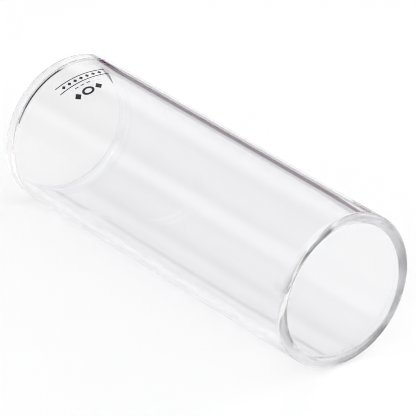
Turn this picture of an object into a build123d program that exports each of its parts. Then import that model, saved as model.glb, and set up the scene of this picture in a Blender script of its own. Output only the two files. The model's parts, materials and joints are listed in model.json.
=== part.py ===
from build123d import *
import os
from math import cos, pi, radians, sin

# Glass guitar slide: an open, straight glass tube with fire-polished rims and a small fired print.
#
# Frame: the slide lies on its side on the XY plane. +X runs along the tube from the printed end to
# the plain end, +Z is up, and the origin is under the middle of the tube, where its side touches
# the surface. Lengths are in millimetres, angles in degrees.

os.makedirs("parts", exist_ok=True)

# ---------------------------------------------------------------- driving dimensions
TUBE_LENGTH = 69.0  # end to end, over the rounded rims
OUTER_DIAMETER = 25.0
BORE_DIAMETER = 22.0

PRINT_THICKNESS = 0.04  # fired enamel stands this far proud of the glass
PRINT_ANGLE = 104.0  # round the tube, from +Y up through +Z, to the middle of the print
PRINT_FROM_END = 9.3  # middle of the print, from the -X end
PRINT_SKEW = 11.0  # the print is set a little askew round the tube

RULE_LENGTH = 8.6  # the two thin rules of the border
RULE_WIDTH = 0.16
RULE_GAP = 1.7  # between their middles
BORDER_LOZENGES = 7  # in the row between the rules
BORDER_PITCH = 1.05
BORDER_LOZENGE = (0.62, 0.86)  # along and across the row
BORDER_AT = (0.05, 2.0)  # middle of the border, from the middle of the print

DASHES = 3
DASH_SIZE = (0.62, 0.16)
DASH_PITCH = 1.05
DASHES_AT = (-0.6, 0.2)

EMBLEM_AT = (-0.6, -1.8)  # middle of the ring, which shows the tube's own section
RING_OUTER_RADIUS = 1.0
RING_INNER_RADIUS = 0.6
EMBLEM_LOZENGE = (1.15, 1.7)
EMBLEM_LOZENGE_AT = 1.85  # one lozenge each side of the ring, this far from its middle

# ---------------------------------------------------------------- derived values
OUTER_RADIUS = OUTER_DIAMETER / 2
BORE_RADIUS = BORE_DIAMETER / 2
WALL = OUTER_RADIUS - BORE_RADIUS
MID_RADIUS = (OUTER_RADIUS + BORE_RADIUS) / 2
STRAIGHT_HALF = TUBE_LENGTH / 2 - WALL / 2  # each rim is a half round as wide as the wall

TUBE_CENTRE = Vector(0, 0, OUTER_RADIUS)
TUBE_AXIS = Axis(TUBE_CENTRE, (1, 0, 0))
# Local x runs along the tube and local y outward, so a profile is drawn as (along, radius).
PROFILE_PLANE = Plane(origin=TUBE_CENTRE, x_dir=(1, 0, 0), z_dir=(0, -1, 0))
# Across the tube, for sections that are extruded along it.
SECTION_PLANE = Plane(origin=TUBE_CENTRE, x_dir=(0, 1, 0), z_dir=(1, 0, 0))

PLANE_CLEARANCE = 1.0  # the print is drawn this far above the glass
PUSH_IN = 4.0  # then pushed in, deeper than the tube's surface falls away under the print
PRINT_REACH = 14.0  # length of enamel skin along the tube, more than the print needs


def print_plane():
    """Plane just above the middle of the print; its y points to the printed end."""
    angle = radians(PRINT_ANGLE)
    outward = Vector(0, cos(angle), sin(angle))
    along_x = Vector(-TUBE_LENGTH / 2 + PRINT_FROM_END, 0, 0)
    round_tube = Vector(0, sin(angle), -cos(angle))
    square = Plane(
        origin=TUBE_CENTRE + along_x + outward * (OUTER_RADIUS + PLANE_CLEARANCE),
        x_dir=round_tube,
        z_dir=outward,
    )
    return square.rotated((0, 0, -PRINT_SKEW))


def lozenge(length, height):
    """Add a four-cornered lozenge to the open sketch, at each current location."""
    corners = [(length / 2, 0), (0, height / 2), (-length / 2, 0), (0, -height / 2)]
    return Polygon(*corners, align=None)


def row(count, pitch, middle):
    """Places of a row of marks along the print's own x."""
    return [(middle[0] + (i - (count - 1) / 2) * pitch, middle[1]) for i in range(count)]


# ---------------------------------------------------------------- glass tube
with BuildPart() as glass_tube:
    with BuildSketch(PROFILE_PLANE):
        with BuildLine():
            outside = Line((-STRAIGHT_HALF, OUTER_RADIUS), (STRAIGHT_HALF, OUTER_RADIUS))
            plain_rim = ThreePointArc(
                outside @ 1,
                (TUBE_LENGTH / 2, MID_RADIUS),
                (STRAIGHT_HALF, BORE_RADIUS),
            )
            inside = Line(plain_rim @ 1, (-STRAIGHT_HALF, BORE_RADIUS))
            ThreePointArc(inside @ 1, (-TUBE_LENGTH / 2, MID_RADIUS), outside @ 0)
        make_face()
    revolve(axis=TUBE_AXIS)

# ---------------------------------------------------------------- fired print
# Each group is drawn flat, pushed in through the glass surface, and kept only where it lies in
# the thin skin of enamel round the tube.
with BuildPart() as enamel_skin:
    with BuildSketch(SECTION_PLANE.offset(-TUBE_LENGTH / 2 + PRINT_FROM_END - PRINT_REACH / 2)):
        Circle(OUTER_RADIUS + PRINT_THICKNESS)
        Circle(OUTER_RADIUS, mode=Mode.SUBTRACT)
    extrude(amount=PRINT_REACH)

with BuildPart() as print_rules:
    with BuildSketch(print_plane()):
        for side in (-1, 1):
            with Locations((BORDER_AT[0], BORDER_AT[1] + side * RULE_GAP / 2)):
                Rectangle(RULE_LENGTH, RULE_WIDTH)
    extrude(amount=-PUSH_IN)
    add(enamel_skin.part, mode=Mode.INTERSECT)

with BuildPart() as print_lozenges:
    with BuildSketch(print_plane()):
        with Locations(*row(BORDER_LOZENGES, BORDER_PITCH, BORDER_AT)):
            lozenge(*BORDER_LOZENGE)
    extrude(amount=-PUSH_IN)
    add(enamel_skin.part, mode=Mode.INTERSECT)

with BuildPart() as print_dashes:
    with BuildSketch(print_plane()):
        with Locations(*row(DASHES, DASH_PITCH, DASHES_AT)):
            Rectangle(*DASH_SIZE)
    extrude(amount=-PUSH_IN)
    add(enamel_skin.part, mode=Mode.INTERSECT)

with BuildPart() as print_emblem:
    with BuildSketch(print_plane()):
        with Locations(EMBLEM_AT):
            Circle(RING_OUTER_RADIUS)
            Circle(RING_INNER_RADIUS, mode=Mode.SUBTRACT)
        for side in (-1, 1):
            with Locations((EMBLEM_AT[0] + side * EMBLEM_LOZENGE_AT, EMBLEM_AT[1])):
                lozenge(*EMBLEM_LOZENGE)
    extrude(amount=-PUSH_IN)
    add(enamel_skin.part, mode=Mode.INTERSECT)

# ---------------------------------------------------------------- labels and files
PIECES = {
    "glass_tube": glass_tube,
    "print_rules": print_rules,
    "print_lozenges": print_lozenges,
    "print_dashes": print_dashes,
    "print_emblem": print_emblem,
}
for name, piece in PIECES.items():
    piece.part.label = name
    export_step(piece.part, f"parts/{name}.step")

expected_volume = 2 * pi * MID_RADIUS * (WALL * 2 * STRAIGHT_HALF + pi * (WALL / 2) ** 2)
print(f"glass volume {glass_tube.part.volume:.1f} mm3, by formula {expected_volume:.1f} mm3")
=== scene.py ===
import json
import math

import bmesh
import bpy
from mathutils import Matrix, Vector


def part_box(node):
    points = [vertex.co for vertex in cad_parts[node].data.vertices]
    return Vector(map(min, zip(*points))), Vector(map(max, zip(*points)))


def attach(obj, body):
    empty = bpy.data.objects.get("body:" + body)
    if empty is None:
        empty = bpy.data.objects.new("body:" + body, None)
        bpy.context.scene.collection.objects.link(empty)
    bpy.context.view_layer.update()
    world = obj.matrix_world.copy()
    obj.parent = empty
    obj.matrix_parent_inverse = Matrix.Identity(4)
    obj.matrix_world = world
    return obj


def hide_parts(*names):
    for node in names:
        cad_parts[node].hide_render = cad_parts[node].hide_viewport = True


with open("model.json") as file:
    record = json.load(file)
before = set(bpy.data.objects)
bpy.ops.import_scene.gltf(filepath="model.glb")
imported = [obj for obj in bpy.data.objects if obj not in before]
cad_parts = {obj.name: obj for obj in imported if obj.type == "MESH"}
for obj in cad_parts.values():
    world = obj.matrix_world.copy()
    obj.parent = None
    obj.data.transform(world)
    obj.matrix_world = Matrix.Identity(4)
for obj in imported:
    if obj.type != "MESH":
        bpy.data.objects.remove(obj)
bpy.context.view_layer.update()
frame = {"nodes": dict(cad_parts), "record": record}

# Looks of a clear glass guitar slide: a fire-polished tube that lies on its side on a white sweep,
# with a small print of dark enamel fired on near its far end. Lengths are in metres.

MM = 0.001

# ---------------------------------------------------------------- sizes, from the frame
GLASS_LOW, GLASS_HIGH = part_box("glass_tube")
TUBE_LENGTH = round((GLASS_HIGH.x - GLASS_LOW.x) / MM) * MM
OUTER_RADIUS = round((GLASS_HIGH.z - GLASS_LOW.z) / MM) * MM / 2
MOUNTS = {m["name"]: m for m in frame["record"]["mounts"]}
BORE_RADIUS = MOUNTS["bore"]["dims"]["r_mm"] * MM
AXIS_HEIGHT = OUTER_RADIUS
TUBE_MIDDLE = Vector((0, 0, AXIS_HEIGHT))

# ---------------------------------------------------------------- camera
CAMERA_AZIMUTH = math.radians(51.64)
CAMERA_ELEVATION = math.radians(28.23)
CAMERA_DISTANCE = 0.6842
CAMERA_ANGLE = math.radians(5.354)  # a long lens, from well back
AIM_RIGHT, AIM_UP = 0.98 * MM, -0.27 * MM  # from the middle of the tube, across the view
CLIP_NEAR, CLIP_FAR = 0.01, 20


def make_camera():
    """A camera CAMERA_DISTANCE from its aim; azimuth is counted from -Y towards +X."""
    data = bpy.data.cameras.new("camera")
    data.angle = CAMERA_ANGLE
    data.dof.use_dof = False
    data.clip_start, data.clip_end = CLIP_NEAR, CLIP_FAR
    camera = bpy.data.objects.new("camera", data)
    bpy.context.collection.objects.link(camera)
    level, rise = math.cos(CAMERA_ELEVATION), math.sin(CAMERA_ELEVATION)
    back = Vector((math.sin(CAMERA_AZIMUTH) * level, -math.cos(CAMERA_AZIMUTH) * level, rise))
    turn = back.to_track_quat("Z", "Y")
    aim = TUBE_MIDDLE + turn @ Vector((AIM_RIGHT, AIM_UP, 0))
    camera.rotation_mode = "QUATERNION"
    camera.rotation_quaternion = turn
    camera.location = aim + back * CAMERA_DISTANCE
    bpy.context.scene.camera = camera


# ---------------------------------------------------------------- materials
# Noise is drawn in the object's own coordinates, and its sizes are features per metre.
GLASS_IOR = 1.474  # borosilicate
GLASS_TINT = (0.987, 0.987, 0.995)
BODY_COLOUR = (0.0, 0.0, 0.12)  # what the thickness of the glass leaves, a trace of blue
BODY_DENSITY = 1.2
HAZE_NOISE = (140, 260, 260)
DRAW_NOISE = (12, 900, 900)  # long along the tube and fine round it
DRAW_DEPTH = 0.0006 * MM

ENAMEL_DARK, ENAMEL_WORN = (0.012, 0.008, 0.012), (0.075, 0.055, 0.066)
MOTTLE_NOISE, GLOSS_NOISE, GRAIN_NOISE = (4500,) * 3, (1800,) * 3, (14000,) * 3
GRAIN_DEPTH = 0.006 * MM

BOARD_DULL = 0.992  # of the board's white, in the duller clouds
CLOUD_NOISE, TOOTH_NOISE = (25,) * 3, (2500,) * 3
TOOTH_DEPTH = 0.01 * MM

CARD_BLACK, CARD_PLUM = (0.01, 0.008, 0.01), (0.05, 0.0, 0.042)


def new_material(name):
    """An empty node material."""
    material = bpy.data.materials.new(name)
    material.use_nodes = True
    nodes = material.node_tree.nodes
    nodes.clear()
    return material, nodes, material.node_tree.links


def add_noise(nodes, links, stretch, detail, roughness=0.5):
    """Noise with stretch features per metre along x, y and z."""
    place = nodes.new("ShaderNodeTexCoord")
    scale = nodes.new("ShaderNodeVectorMath")
    scale.operation = "MULTIPLY"
    scale.inputs[1].default_value = stretch
    links.new(place.outputs["Object"], scale.inputs[0])
    noise = nodes.new("ShaderNodeTexNoise")
    noise.inputs["Scale"].default_value = 1.0
    noise.inputs["Detail"].default_value = detail
    noise.inputs["Roughness"].default_value = roughness
    links.new(scale.outputs["Vector"], noise.inputs["Vector"])
    return noise.outputs["Fac"]


def add_range(nodes, links, value, source, target):
    """Map value from the source range onto the target range."""
    mapped = nodes.new("ShaderNodeMapRange")
    names = ("From Min", "From Max", "To Min", "To Max")
    for name, number in zip(names, (*source, *target)):
        mapped.inputs[name].default_value = number
    links.new(value, mapped.inputs["Value"])
    return mapped.outputs["Result"]


def add_tint(nodes, links, value, low, high):
    """Mix two colours by value."""
    mix = nodes.new("ShaderNodeMix")
    mix.data_type = "RGBA"
    mix.inputs["A"].default_value = (*low, 1)
    mix.inputs["B"].default_value = (*high, 1)
    links.new(value, mix.inputs["Factor"])
    return mix.outputs["Result"]


def add_bump(nodes, links, value, distance):
    """A normal for a surface that value raises by up to distance."""
    bump = nodes.new("ShaderNodeBump")
    bump.inputs["Strength"].default_value = 1.0
    bump.inputs["Distance"].default_value = distance
    links.new(value, bump.inputs["Height"])
    return bump.outputs["Normal"]


def glass_material():
    """Clear borosilicate: draw lines along the tube, and the faint haze that handling leaves."""
    material, nodes, links = new_material("clear_glass")
    out = nodes.new("ShaderNodeOutputMaterial")
    bsdf = nodes.new("ShaderNodeBsdfPrincipled")
    bsdf.inputs["Base Color"].default_value = (*GLASS_TINT, 1)
    bsdf.inputs["IOR"].default_value = GLASS_IOR
    bsdf.inputs["Transmission Weight"].default_value = 1.0
    haze = add_noise(nodes, links, HAZE_NOISE, detail=5, roughness=0.6)
    links.new(add_range(nodes, links, haze, (0.5, 0.75), (0.0, 0.012)), bsdf.inputs["Roughness"])
    draw_lines = add_noise(nodes, links, DRAW_NOISE, detail=3)
    links.new(add_bump(nodes, links, draw_lines, DRAW_DEPTH), bsdf.inputs["Normal"])
    links.new(bsdf.outputs["BSDF"], out.inputs["Surface"])
    body = nodes.new("ShaderNodeVolumeAbsorption")
    body.inputs["Color"].default_value = (*BODY_COLOUR, 1)
    body.inputs["Density"].default_value = BODY_DENSITY
    links.new(body.outputs["Volume"], out.inputs["Volume"])
    return material


def enamel_material():
    """Screened enamel fired into the glass: near black, with grain, thin spots and an uneven gloss."""
    material, nodes, links = new_material("fired_enamel")
    out = nodes.new("ShaderNodeOutputMaterial")
    bsdf = nodes.new("ShaderNodeBsdfPrincipled")
    mottle = add_noise(nodes, links, MOTTLE_NOISE, detail=4, roughness=0.65)
    worn = add_range(nodes, links, mottle, (0.45, 0.8), (0.0, 1.0))
    links.new(add_tint(nodes, links, worn, ENAMEL_DARK, ENAMEL_WORN), bsdf.inputs["Base Color"])
    gloss = add_noise(nodes, links, GLOSS_NOISE, detail=3)
    links.new(add_range(nodes, links, gloss, (0.3, 0.7), (0.22, 0.5)), bsdf.inputs["Roughness"])
    grain = add_noise(nodes, links, GRAIN_NOISE, detail=2)
    links.new(add_bump(nodes, links, grain, GRAIN_DEPTH), bsdf.inputs["Normal"])
    links.new(bsdf.outputs["BSDF"], out.inputs["Surface"])
    return material


def floor_material(name, white):
    """Matte white board with a faint, soft unevenness and a fine tooth."""
    material, nodes, links = new_material(name)
    out = nodes.new("ShaderNodeOutputMaterial")
    bsdf = nodes.new("ShaderNodeBsdfDiffuse")
    cloud = add_noise(nodes, links, CLOUD_NOISE, detail=6, roughness=0.6)
    shade = add_range(nodes, links, cloud, (0.3, 0.7), (0.0, 1.0))
    dull, clean = (white * BOARD_DULL,) * 3, (white,) * 3
    links.new(add_tint(nodes, links, shade, dull, clean), bsdf.inputs["Color"])
    tooth = add_noise(nodes, links, TOOTH_NOISE, detail=2)
    links.new(add_bump(nodes, links, tooth, TOOTH_DEPTH), bsdf.inputs["Normal"])
    links.new(bsdf.outputs["BSDF"], out.inputs["Surface"])
    return material


def card_material(name, colour):
    """Dark card, which gives back the little light that such a card would."""
    material, nodes, links = new_material(name)
    out = nodes.new("ShaderNodeOutputMaterial")
    glow = nodes.new("ShaderNodeEmission")
    glow.inputs["Color"].default_value = (*colour, 1)
    links.new(glow.outputs["Emission"], out.inputs["Surface"])
    return material


# ---------------------------------------------------------------- glass tube
AROUND = 960  # steps round the tube
RIM_STEPS = 24  # over each rounded rim
FILLET_STEPS = 8  # from a rim's bead to the bore
BODY_STEPS = 4  # along half of the tube
# The flame draws each rim into a bead that stands slightly into the bore, more so at the print.
PLAIN_BEAD, PRINTED_BEAD = 0.86 * MM, 0.95 * MM  # radius
BEAD_FILLET = 2.0 * MM  # hollow curve from a bead back to the bore


def arc(middle, radius, start, end, steps):
    """Points on an arc of the profile, from start to end in radians, without the last one."""
    turns = (start + (end - start) * i / steps for i in range(steps))
    return [(middle[0] + radius * math.cos(t), middle[1] + radius * math.sin(t)) for t in turns]


def half_profile(bead_radius):
    """(along, radius) points of the +X half: out along the outside, over the rim, back in the bore."""
    bead = (TUBE_LENGTH / 2 - bead_radius, OUTER_RADIUS - bead_radius)
    drop = bead[1] - (BORE_RADIUS - BEAD_FILLET)
    back = math.sqrt((bead_radius + BEAD_FILLET) ** 2 - drop**2)
    hollow = (bead[0] - back, BORE_RADIUS - BEAD_FILLET)
    lean = math.atan2(back, drop)
    half = [(bead[0] * i / BODY_STEPS, OUTER_RADIUS) for i in range(BODY_STEPS)]
    half += arc(bead, bead_radius, math.pi / 2, -math.pi / 2 - lean, RIM_STEPS)
    half += arc(hollow, BEAD_FILLET, math.pi / 2 - lean, math.pi / 2, FILLET_STEPS)
    return half + [(hollow[0] * (1 - i / BODY_STEPS), BORE_RADIUS) for i in range(BODY_STEPS)]


def tube_profile():
    """The closed loop; the -X end is the printed one."""
    printed = [(-along, radius) for along, radius in half_profile(PRINTED_BEAD)]
    return half_profile(PLAIN_BEAD) + [(0, BORE_RADIUS)] + printed[:0:-1]


def make_tube():
    """The profile turned round the tube's axis, as one closed, smooth mesh."""
    profile = tube_profile()
    rings = len(profile)
    verts, faces = [], []
    for k in range(AROUND):
        angle = 2 * math.pi * k / AROUND
        for along, radius in profile:
            verts.append((along, radius * math.cos(angle), AXIS_HEIGHT + radius * math.sin(angle)))
    for k in range(AROUND):
        a, b = k * rings, (k + 1) % AROUND * rings
        for i in range(rings):
            j = (i + 1) % rings
            faces.append((a + i, a + j, b + j, b + i))
    mesh = bpy.data.meshes.new("slide_glass")
    mesh.from_pydata(verts, [], faces)
    mesh.update()
    bm = bmesh.new()
    bm.from_mesh(mesh)
    bmesh.ops.recalc_face_normals(bm, faces=bm.faces)
    bm.to_mesh(mesh)
    bm.free()
    mesh.shade_smooth()
    tube = bpy.data.objects.new("slide_glass", mesh)
    bpy.context.collection.objects.link(tube)
    mesh.materials.append(glass_material())
    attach(tube, "root")
    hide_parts("glass_tube")


# ---------------------------------------------------------------- fired print
def dress_print():
    """The printed marks keep their CAD shapes and get the enamel."""
    enamel = enamel_material()
    for name in ("print_rules", "print_lozenges", "print_dashes", "print_emblem"):
        node = frame["nodes"][name]
        node.data.materials.clear()
        node.data.materials.append(enamel)


# ---------------------------------------------------------------- stage and light
def make_plane(name, corners, material):
    """A four-cornered piece of the stage."""
    mesh = bpy.data.meshes.new(name)
    mesh.from_pydata(corners, [], [(0, 1, 2, 3)])
    mesh.materials.append(material)
    plane = bpy.data.objects.new(name, mesh)
    bpy.context.collection.objects.link(plane)
    return plane


def make_card(name, start, end, low, top, material):
    """An upright card between two (x, y) points. Only the glass shows it: it throws no shade."""
    corners = [(*start, low), (*end, low), (*end, top), (*start, top)]
    card = make_plane(name, corners, material)
    card.visible_camera = False
    card.visible_diffuse = False
    card.visible_shadow = False


# The camera sees one floor. The glass and the light see another, slightly greyer and just below. The
# two are lit and shaded copies of one board, painted light and shade, so that the floor looks lighter
# to the camera than through the glass.
FLOOR_HALF = 1.5
FLOOR_WHITE, GLASS_FLOOR_SHADED_WHITE = 0.893, 0.85
GLASS_FLOOR_DROP = 0.05 * MM

# Dark cards, low round the slide, draw the dark lines along the tube and round its rims.
CARD_FAR, CARD_LOW, CARD_TOP = 100 * MM, 7 * MM, 27 * MM  # the pair beside the tube
BACK_CARD_X = (-200 * MM, 200 * MM)
FRONT_CARD_X = (-40 * MM, 200 * MM)
END_CARD_X, END_CARD_HALF = -130 * MM, 60 * MM
END_CARD_LOW, END_CARD_TOP = 4 * MM, 60 * MM


def make_floor(name, white, height):
    signs = ((-1, -1), (1, -1), (1, 1), (-1, 1))
    corners = [(x * FLOOR_HALF, y * FLOOR_HALF, height) for x, y in signs]
    return make_plane(name, corners, floor_material(name, white))


def make_stage():
    """The two floors and the three dark cards."""
    seen = make_floor("floor", FLOOR_WHITE, 0.0)
    seen.visible_diffuse = False
    seen.visible_glossy = False
    seen.visible_transmission = False
    seen.visible_shadow = False
    # painted shade: the greyer copy of the floor, which only the glass and the light see
    make_floor("floor_in_glass", GLASS_FLOOR_SHADED_WHITE, -GLASS_FLOOR_DROP).visible_camera = False
    black = card_material("black_card", CARD_BLACK)
    plum = card_material("plum_card", CARD_PLUM)
    start, end = BACK_CARD_X
    make_card("card_back", (start, CARD_FAR), (end, CARD_FAR), CARD_LOW, CARD_TOP, plum)
    start, end = FRONT_CARD_X
    make_card("card_front", (start, -CARD_FAR), (end, -CARD_FAR), CARD_LOW, CARD_TOP, black)
    start, end = (END_CARD_X, -END_CARD_HALF), (END_CARD_X, END_CARD_HALF)
    make_card("card_left", start, end, END_CARD_LOW, END_CARD_TOP, black)


# The studio round the slide, in degrees: middle azimuth, half width, low and high elevation.
# Azimuth is counted from +X towards +Y. The last number is the light that each softbox adds to
# the bare room's.
ROOM_LEVEL = 0.38
SOFTBOXES = {
    "right_wall": (0, 90, 22, 55, 1.63),
    "ceiling": (0, 200, 55, 100, 0.74),
    "back_left_strip": (135, 45, 22, 38, 0.54),
    "low_back_right": (45, 45, 8, 22, 0.91),
    "low_back_left": (135, 30, 2, 22, 0.4),
    "front_left_wall": (-118, 29, 20, 42, 0.54),
    "front_left_low": (-131, 7, -10, 20, 0.45),
}
DARK_CORNER = (-177, 27.5, -5, 40, 0.97)  # its last number is the share of light it swallows
EDGE_SOFTNESS = 8.0


def make_light():
    """A sky round the slide, drawn as soft-edged patches of light by azimuth and elevation."""
    world = bpy.data.worlds.new("studio")
    bpy.context.scene.world = world
    world.use_nodes = True
    nodes, links = world.node_tree.nodes, world.node_tree.links
    background = nodes["Background"]

    def math_node(operation, *values, clamp=False):
        """A Math node on numbers or other nodes' outputs."""
        node = nodes.new("ShaderNodeMath")
        node.operation = operation
        node.use_clamp = clamp
        for socket, value in zip(node.inputs, values):
            if isinstance(value, (int, float)):
                socket.default_value = value
            else:
                links.new(value, socket)
        return node.outputs[0]

    place = nodes.new("ShaderNodeTexCoord")
    parts = nodes.new("ShaderNodeSeparateXYZ")
    links.new(place.outputs["Generated"], parts.inputs[0])
    elevation = math_node("ARCSINE", parts.outputs["Z"])
    azimuth = math_node("ARCTAN2", parts.outputs["Y"], parts.outputs["X"])

    def sky_box(middle, half, low, high):
        """1 inside a patch of sky and 0 outside, with soft edges."""
        soft = math.radians(EDGE_SOFTNESS)
        turn = math_node("COSINE", math_node("SUBTRACT", azimuth, math.radians(middle)))
        inside = (
            math_node("SUBTRACT", elevation, math.radians(low)),
            math_node("SUBTRACT", math.radians(high), elevation),
            math_node("SUBTRACT", math.radians(half), math_node("ARCCOSINE", turn)),
        )
        above, below, beside = (
            math_node("MULTIPLY_ADD", angle, 1 / soft, 0.5, clamp=True) for angle in inside
        )
        return math_node("MULTIPLY", math_node("MULTIPLY", above, below), beside)

    level = ROOM_LEVEL
    for *patch, gain in SOFTBOXES.values():
        level = math_node("MULTIPLY_ADD", sky_box(*patch), gain, level)
    *patch, share = DARK_CORNER
    kept = math_node("MULTIPLY_ADD", sky_box(*patch), -share, 1.0)
    level = math_node("MULTIPLY", level, kept)
    links.new(level, background.inputs["Color"])


# ---------------------------------------------------------------- scene
GLASS_BOUNCES = 96  # light runs a long way inside the wall; with fewer the rims turn black

make_camera()
make_tube()
dress_print()
make_stage()
make_light()

scene = bpy.context.scene
scene.view_settings.view_transform = "Standard"
scene.cycles.max_bounces = GLASS_BOUNCES
scene.cycles.transmission_bounces = GLASS_BOUNCES
scene.cycles.glossy_bounces = GLASS_BOUNCES
scene.cycles.diffuse_bounces = 6
scene.cycles.blur_glossy = 0.0
scene.cycles.filter_width = 1.0
scene.cycles.sample_clamp_indirect = 0.0
